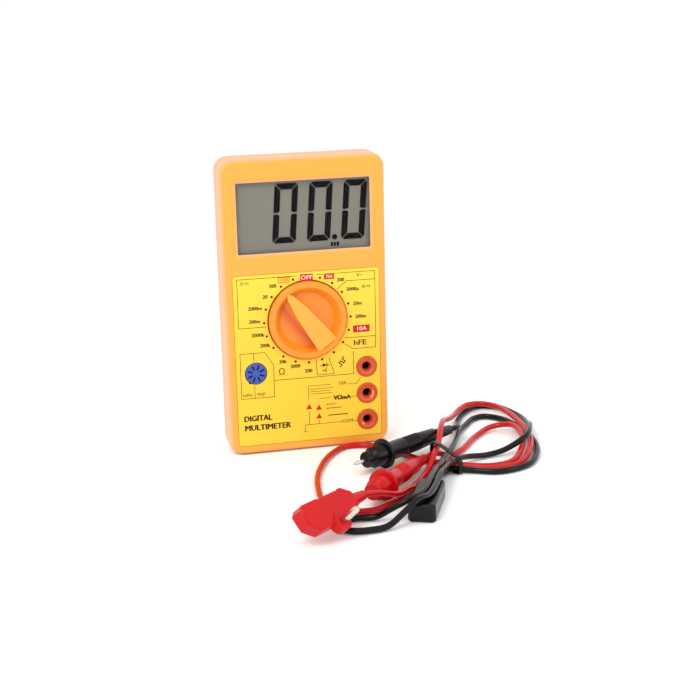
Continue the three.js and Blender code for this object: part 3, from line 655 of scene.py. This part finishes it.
dots_tree = dial_dots_tree(black_ink)
dots_holder = bpy.data.objects.new("dial_dots", bpy.data.meshes.new("dial_dots"))
bpy.context.scene.collection.objects.link(dots_holder)
dots = dots_holder.modifiers.new("dial_dots", "NODES")
dots.node_group = dots_tree
DOT_SIZES = {
    "Positions": 20, "Ring Radius": DOT_RING * MM, "Dot Radius": 0.62 * MM,
    "Ink Thickness": INK_BACK - INK_FRONT,
    "Top Cut": DOT_RING * MM * 0.99,
}
for socket in dots_tree.interface.items_tree:
    if socket.in_out == "INPUT" and socket.name in DOT_SIZES:
        dots[socket.identifier] = DOT_SIZES[socket.name]
bpy.context.view_layer.update()
dots_mesh = bpy.data.meshes.new_from_object(dots_holder.evaluated_get(bpy.context.evaluated_depsgraph_get()))
bpy.data.objects.remove(dots_holder)
dots_mesh.transform(Matrix.Translation((0, INK_MIDDLE, DIAL_Z * MM)) @ Matrix.Rotation(math.pi / 2, 4, "X"))
black.from_mesh(dots_mesh)
bpy.data.meshes.remove(dots_mesh)
RANGES = [
    ("200", 17.4, 88.4), ("2000µ", 23.6, 83.2), ("20m", 26.0, 75.6), ("200m", 27.6, 68.7),
    ("200", -17.4, 87.6),
    ("20", -21.5, 82.3), ("2000m", -26.8, 76.7), ("200m", -27.3, 70.0), ("2000k", -25.9, 62.9),
    ("200k", -22.4, 57.3),
    ("20k", -13.6, 48.1), ("2000", -7.2, 45.2), ("200", -0.4, 42.2),
]
for words, x, z in RANGES:
    ink(black, words, x, z, passes=2)

# The off position and the high ranges sit on red panels.
WHITE_FRONT = INK_FRONT - 0.00004
for x, z, wide, high, words in [
    (0, 90.8, 6.5, 3.7, "OFF"), (11.6, 90.5, 5.2, 2.6, "750"), (27.8, 62.3, 8.7, 3.7, "10A"),
]:
    panel(red, x, z, wide, high)
    set_type(
        white, words, x, z, high * 0.6, (WHITE_FRONT + INK_FRONT) / 2 - 0.000002,
        half_depth=(INK_FRONT - WHITE_FRONT) / 2 - 0.000002, wide=1.1,
    )
rule(red, [(-14.3, 89.1), (-8.9, 89.1), (-8.9, 91.7), (-14.3, 91.7), (-14.3, 89.1)], 0.3)
ink(red, "1000", -11.6, 90.4, 1.6)

# Sector outlines and headings.
for line in [
    [(-5.2, 92.0), (-35.4, 92.0), (-35.4, 67.0), (-21.6, 67.0)],
    [(15.7, 83.9), (20.6, 87.7), (35.4, 87.7), (35.4, 92.0), (5.2, 92.0)], [(35.4, 87.7), (35.4, 58.0)],
    [(19.0, 58.0), (35.2, 58.0), (35.2, 52.0), (23.3, 52.0), (19.0, 54.8)],
    [(23.3, 50.5), (23.3, 38.7), (-18.4, 38.7)],
    [(3.7, 47.9), (4.2, 39.6), (13.1, 39.7), (10.5, 48.0)],
    [(-35.3, 30.2), (-35.3, 53.8), (-22.6, 53.8), (-18.4, 47.0), (-18.4, 30.2), (-35.3, 30.2)],
    [(-28.4, 53.8), (-28.4, 49.4)], [(-28.4, 36.8), (-28.4, 30.2)],
]:
    rule(black, line)
ink(black, "V", -33.0, 89.8, 2.1)
ink(black, "V~", 27.5, 90.3, 2.1)
ink(black, "A", 29.4, 84.1, 2.1)
for x, z in [(-30.6, 89.8), (31.9, 84.1)]:
    rule(black, [(x - 1.1, z + 0.4), (x + 1.1, z + 0.4)], 0.28)
    for k in (-1, 0, 1):
        rule(black, [(x + k * 0.8 - 0.12, z - 0.4), (x + k * 0.8 + 0.12, z - 0.4)], 0.28)
ink(black, "hFE", 26.9, 54.9, 2.9, wide=1.2, passes=2)
ink(black, "\u03a9", -14.2, 42.8, 3.4)
ink(black, "NPN", -32.2, 31.9, 1.7)
ink(black, "PNP", -25.2, 31.9, 1.7)
dot(black, -30.7, 38.5, 0.7)

# Diode sign: a filled arrow against a bar on a line. Below it the sounder sign, and beside it a square
# wave.
thin_solid(
    black, [((7.2 + x) * MM, (44.6 + z) * MM) for x, z in [(0, 1.1), (0, -1.1), (1.9, 0)]], INK_FRONT,
    INK_BACK,
)
rule(black, [(5.8, 44.6), (10.6, 44.6)], 0.3)
rule(black, [(9.3, 45.7), (9.3, 43.5)], 0.36)
dot(black, 7.4, 41.7, 0.4)
for r in (1.0, 1.7):
    rule(black, [(7.4 + r * math.cos(a), 41.7 + r * math.sin(a)) for a in (-0.8, -0.4, 0, 0.4, 0.8)], 0.24)
wave = [(-2.6, -1.0), (-1.3, -1.0), (-1.3, 1.0), (0, 1.0), (0, -1.0), (1.3, -1.0), (1.3, 1.0), (2.6, 1.0)]
rule(black, [(17.3 + x * 0.64 - z * 0.77, 45.5 + x * 0.77 + z * 0.64) for x, z in wave], 0.5)

# Title, jack names with their leaders, plain rules where finer print would stand, and three filled
# triangles.
ink(black, "DIGITAL", -34.8, 19.3, 3.1, align="LEFT", fit=14.2, passes=3)
ink(black, "MULTIMETER", -34.6, 14.3, 3.1, align="LEFT", fit=23.6, passes=3)
ink(black, "10A", 17.1, 34.2, 2.0)
ink(black, "V\u03a9mA", 16.7, 26.5, 2.3, passes=3)
ink(black, "COM", 19.5, 13.6, 1.9)
for line in [
    [(20.0, 33.5), (24.4, 33.2), (27.0, 36.2)], [(-0.7, 26.9), (-0.7, 34.1), (10.7, 34.1)],
    [(21.4, 26.6), (25.2, 26.6)],
    [(4.9, 27.0), (10.7, 27.0)], [(-3.0, 9.9), (-3.0, 13.4), (-0.7, 13.5), (16.8, 13.5)],
    [(22.2, 13.3), (25.2, 13.3)],
    [(-0.6, 20.4), (-0.6, 13.5)], [(4.5, 15.8), (4.5, 13.5)], [(-4.2, 9.9), (-1.8, 9.9)],
    [(0.3, 32.3), (12.4, 32.3)], [(0.3, 31.0), (10.8, 31.0)], [(0.3, 29.7), (11.6, 29.7)],
]:
    rule(black, line, 0.2)
rule(black, [(9.6, 17.6), (19.6, 17.6)], 0.45)
rule(red, [(8.6, 23.5), (13.0, 23.5)], 0.4)
rule(red, [(8.6, 21.4), (16.2, 21.4)], 0.4)
for x, z in [(-0.6, 23.0), (4.5, 22.2), (4.5, 17.6)]:
    thin_solid(
        red, [((x + i) * MM, (z + j) * MM) for i, j in [(-1.6, -1.2), (1.6, -1.2), (0, 1.6)]], INK_FRONT,
        INK_BACK,
    )
for name, bm, mat in [
    ("label_print_black", black, black_ink), ("label_print_red", red, red_ink),
    ("label_print_white", white, white_ink),
]:
    bmesh.ops.remove_doubles(bm, verts=bm.verts, dist=1e-7)
    printed_piece(name, bm, mat)

# --- Selector knob.
# One deep orange moulding: a rim, a sloped dish and a wedge bar whose thin end points at the range.
# Behind the face it carries a drum with two sprung balls and three wiping contacts.
knob_orange = finish_material(
    "knob_orange", srgb(234, 138, 28), rough=(0.26, 0.38), grain=2400, bump=0.00003, tint=0.05,
)
POINTER = math.radians(36)
BAR_SHADOW_START, BAR_SIDE = -0.0125, -0.0035
DISH_RIM, DISH_FLOOR = -0.0151, -0.0122
BAR_BACK, BAR_TOP = -0.01515, -0.0156
# Painted shadow: the dish left of the bar is painted red-orange, darkest next to the bar, as the shade that
# the bar casts there.
bar_shadow_ramp, bar_shadow_mix = paint_light_and_shade(
    knob_orange, srgb(206, 62, 20), 1.0, "X", BAR_SHADOW_START, BAR_SIDE, move=(0, 0, DIAL_Z * MM), spin=-POINTER
)
knob_nodes, knob_links = knob_orange.node_tree.nodes, knob_orange.node_tree.links
bar_shadow_fade = knob_nodes.new("ShaderNodeValToRGB")
bar_shadow_fade.color_ramp.elements[0].color = (0, 0, 0, 1)
bar_shadow_fade.color_ramp.elements[1].color = (0, 0, 0, 1)
bar_shadow_fade.color_ramp.elements.new(0.86).color = (0.75, 0.75, 0.75, 1)
depth_place = knob_nodes.new("ShaderNodeTexCoord")
depth_split = knob_nodes.new("ShaderNodeSeparateXYZ")
in_dish = knob_nodes.new("ShaderNodeMapRange")
in_dish.inputs["From Min"].default_value = DISH_RIM
in_dish.inputs["From Max"].default_value = DISH_FLOOR
both = knob_nodes.new("ShaderNodeMath")
both.operation = "MULTIPLY"
knob_links.new(bar_shadow_ramp.outputs["Result"], bar_shadow_fade.inputs["Fac"])
knob_links.new(depth_place.outputs["Object"], depth_split.inputs["Vector"])
knob_links.new(depth_split.outputs["Y"], in_dish.inputs["Value"])
knob_links.new(bar_shadow_fade.outputs["Color"], both.inputs[0])
knob_links.new(in_dish.outputs["Result"], both.inputs[1])
knob_links.new(both.outputs["Value"], bar_shadow_mix.inputs["Factor"])
# Painted highlight: the top of the bar is painted paler, where it catches the light.
paint_light_and_shade(knob_orange, srgb(246, 168, 58), 0.9, "Y", BAR_BACK, BAR_TOP)
smooth_copy("selector_knob", "range_knob", knob_orange, "knob", bevel=0.00035, sharp=30)
brass = finish_material(
    "pressed_brass", srgb(212, 176, 98), rough=(0.2, 0.35), metal=1.0, grain=2000, bump=0.00001,
)
spring_steel = finish_material(
    "spring_steel", srgb(180, 183, 188), rough=(0.2, 0.3), metal=1.0, grain=2500, bump=0.00001,
)
for k in (1, 2):
    smooth_copy(f"detent_ball_{k}", f"knob_ball_{k}", spring_steel, "knob", sharp=80, clean=False)
    smooth_copy(
        f"detent_spring_{k}", f"knob_spring_{k}", spring_steel, "knob", sharp=80, clean=False,
    )
for k in (1, 2, 3):
    smooth_copy(f"knob_contact_{k}", f"knob_wiper_{k}", brass, "knob", sharp=30)

# --- Jacks and transistor socket.
# Orange-red collars moulded round turned brass sleeves for 4 mm plugs, and a blue nylon block with eight
# slots for transistor legs.
collar_orange = finish_material(
    "collar_orange", srgb(204, 70, 28), rough=(0.24, 0.34), grain=2000, bump=0.00002,
)
# Painted highlight: a pale pink ring painted on each collar's raised inner rim round the bore, where light
# catches it.
collar_rim_highlight = finish_material(
    "collar_rim_painted_highlight", srgb(244, 158, 116), rough=(0.24, 0.34), grain=2000, bump=0.00002,
)
for jack in ("10a", "vohm", "com"):
    ring = smooth_copy(
        f"jack_collar_{jack}", f"jack_ring_{jack}", collar_orange, "meter", bevel=0.00015,
        sharp=34,
    )
    low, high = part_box(f"jack_collar_{jack}")
    middle = (Vector(low) + Vector(high)) / 2
    # Faces between 2.7 and 3.7 mm from the bore's axis take the painted highlight.
    ring.data.materials.append(collar_rim_highlight)
    for face in ring.data.polygons:
        out = Vector((face.center.x - middle.x, face.center.z - middle.z)).length
        if 2.7 * MM < out < 3.7 * MM:
            face.material_index = 1
    smooth_copy(f"jack_sleeve_{jack}", f"jack_tube_{jack}", brass, "meter", sharp=34)
nylon_blue = finish_material("nylon_blue", srgb(54, 78, 160), rough=(0.36, 0.5), grain=1800, bump=0.00003)
smooth_copy("transistor_socket", "transistor_block", nylon_blue, "meter", bevel=0.00012, sharp=30)

# --- Inside the case.
# The circuit board with its solder mask, the display holder and its rubber contact strips, and the parts
# that are soldered to the board: chip under resin, buzzer, capacitor, trimmer, fuse in its clips and the
# shunt wire.
solder_mask = finish_material(
    "solder_mask", srgb(38, 104, 58), rough=(0.25, 0.4), grain=900, bump=0.00002, tint=0.15,
)
holder_white = finish_material("holder_white", srgb(228, 226, 218), rough=(0.4, 0.55))
pink_rubber = finish_material("pink_rubber", srgb(214, 136, 146), rough=(0.6, 0.75), grain=1200, bump=0.00003)
resin = finish_material("potting_resin", srgb(20, 20, 21), rough=(0.18, 0.35), grain=700, bump=0.00005)
sleeve_blue = finish_material("shrink_sleeve", srgb(44, 50, 84), rough=(0.25, 0.4))
fuse_clear = finish_material("fuse_tube", srgb(226, 236, 240), rough=(0.05, 0.1), grain=500, bump=0.00001)
fuse_clear.node_tree.nodes["Principled BSDF"].inputs["Alpha"].default_value = 0.35
manganin = finish_material("shunt_metal", srgb(190, 146, 104), rough=(0.2, 0.35), metal=1.0)
can_black = finish_material("battery_can", srgb(44, 46, 54), rough=(0.25, 0.4), grain=800, bump=0.00002)
INSIDE = {
    "circuit_board": (solder_mask, "board"), "lcd_frame": (holder_white, "holder"),
    "contact_strip_lower": (pink_rubber, "elastomer"), "contact_strip_upper": (pink_rubber, "elastomer"),
    "chip_blob": (resin, "epoxy"), "buzzer": (black_moulding, "black_plastic"),
    "capacitor": (sleeve_blue, "sleeve"),
    "trimmer": (nylon_blue, "socket"), "fuse_glass": (fuse_clear, "fuse_glass"),
    "fuse_cap_1": (nickel, "plating"),
    "fuse_cap_2": (nickel, "plating"), "fuse_clip_1": (brass, "brass"), "fuse_clip_2": (brass, "brass"),
    "shunt_wire": (manganin, "copper"), "battery": (can_black, "battery"),
    "battery_stud_plus": (nickel, "plating"),
    "battery_stud_minus": (nickel, "plating"), "battery_snap": (black_moulding, "black_plastic"),
    "battery_wire_red": (red_vinyl, "red_flex"), "battery_wire_black": (black_vinyl, "black_flex"),
    "board_screw_1": (zinc, "steel"), "board_screw_2": (zinc, "steel"), "board_screw_3": (zinc, "steel"),
}
for node, (mat, slot) in INSIDE.items():
    smooth_copy(node, f"inner_{node}", mat, "meter", sharp=40)
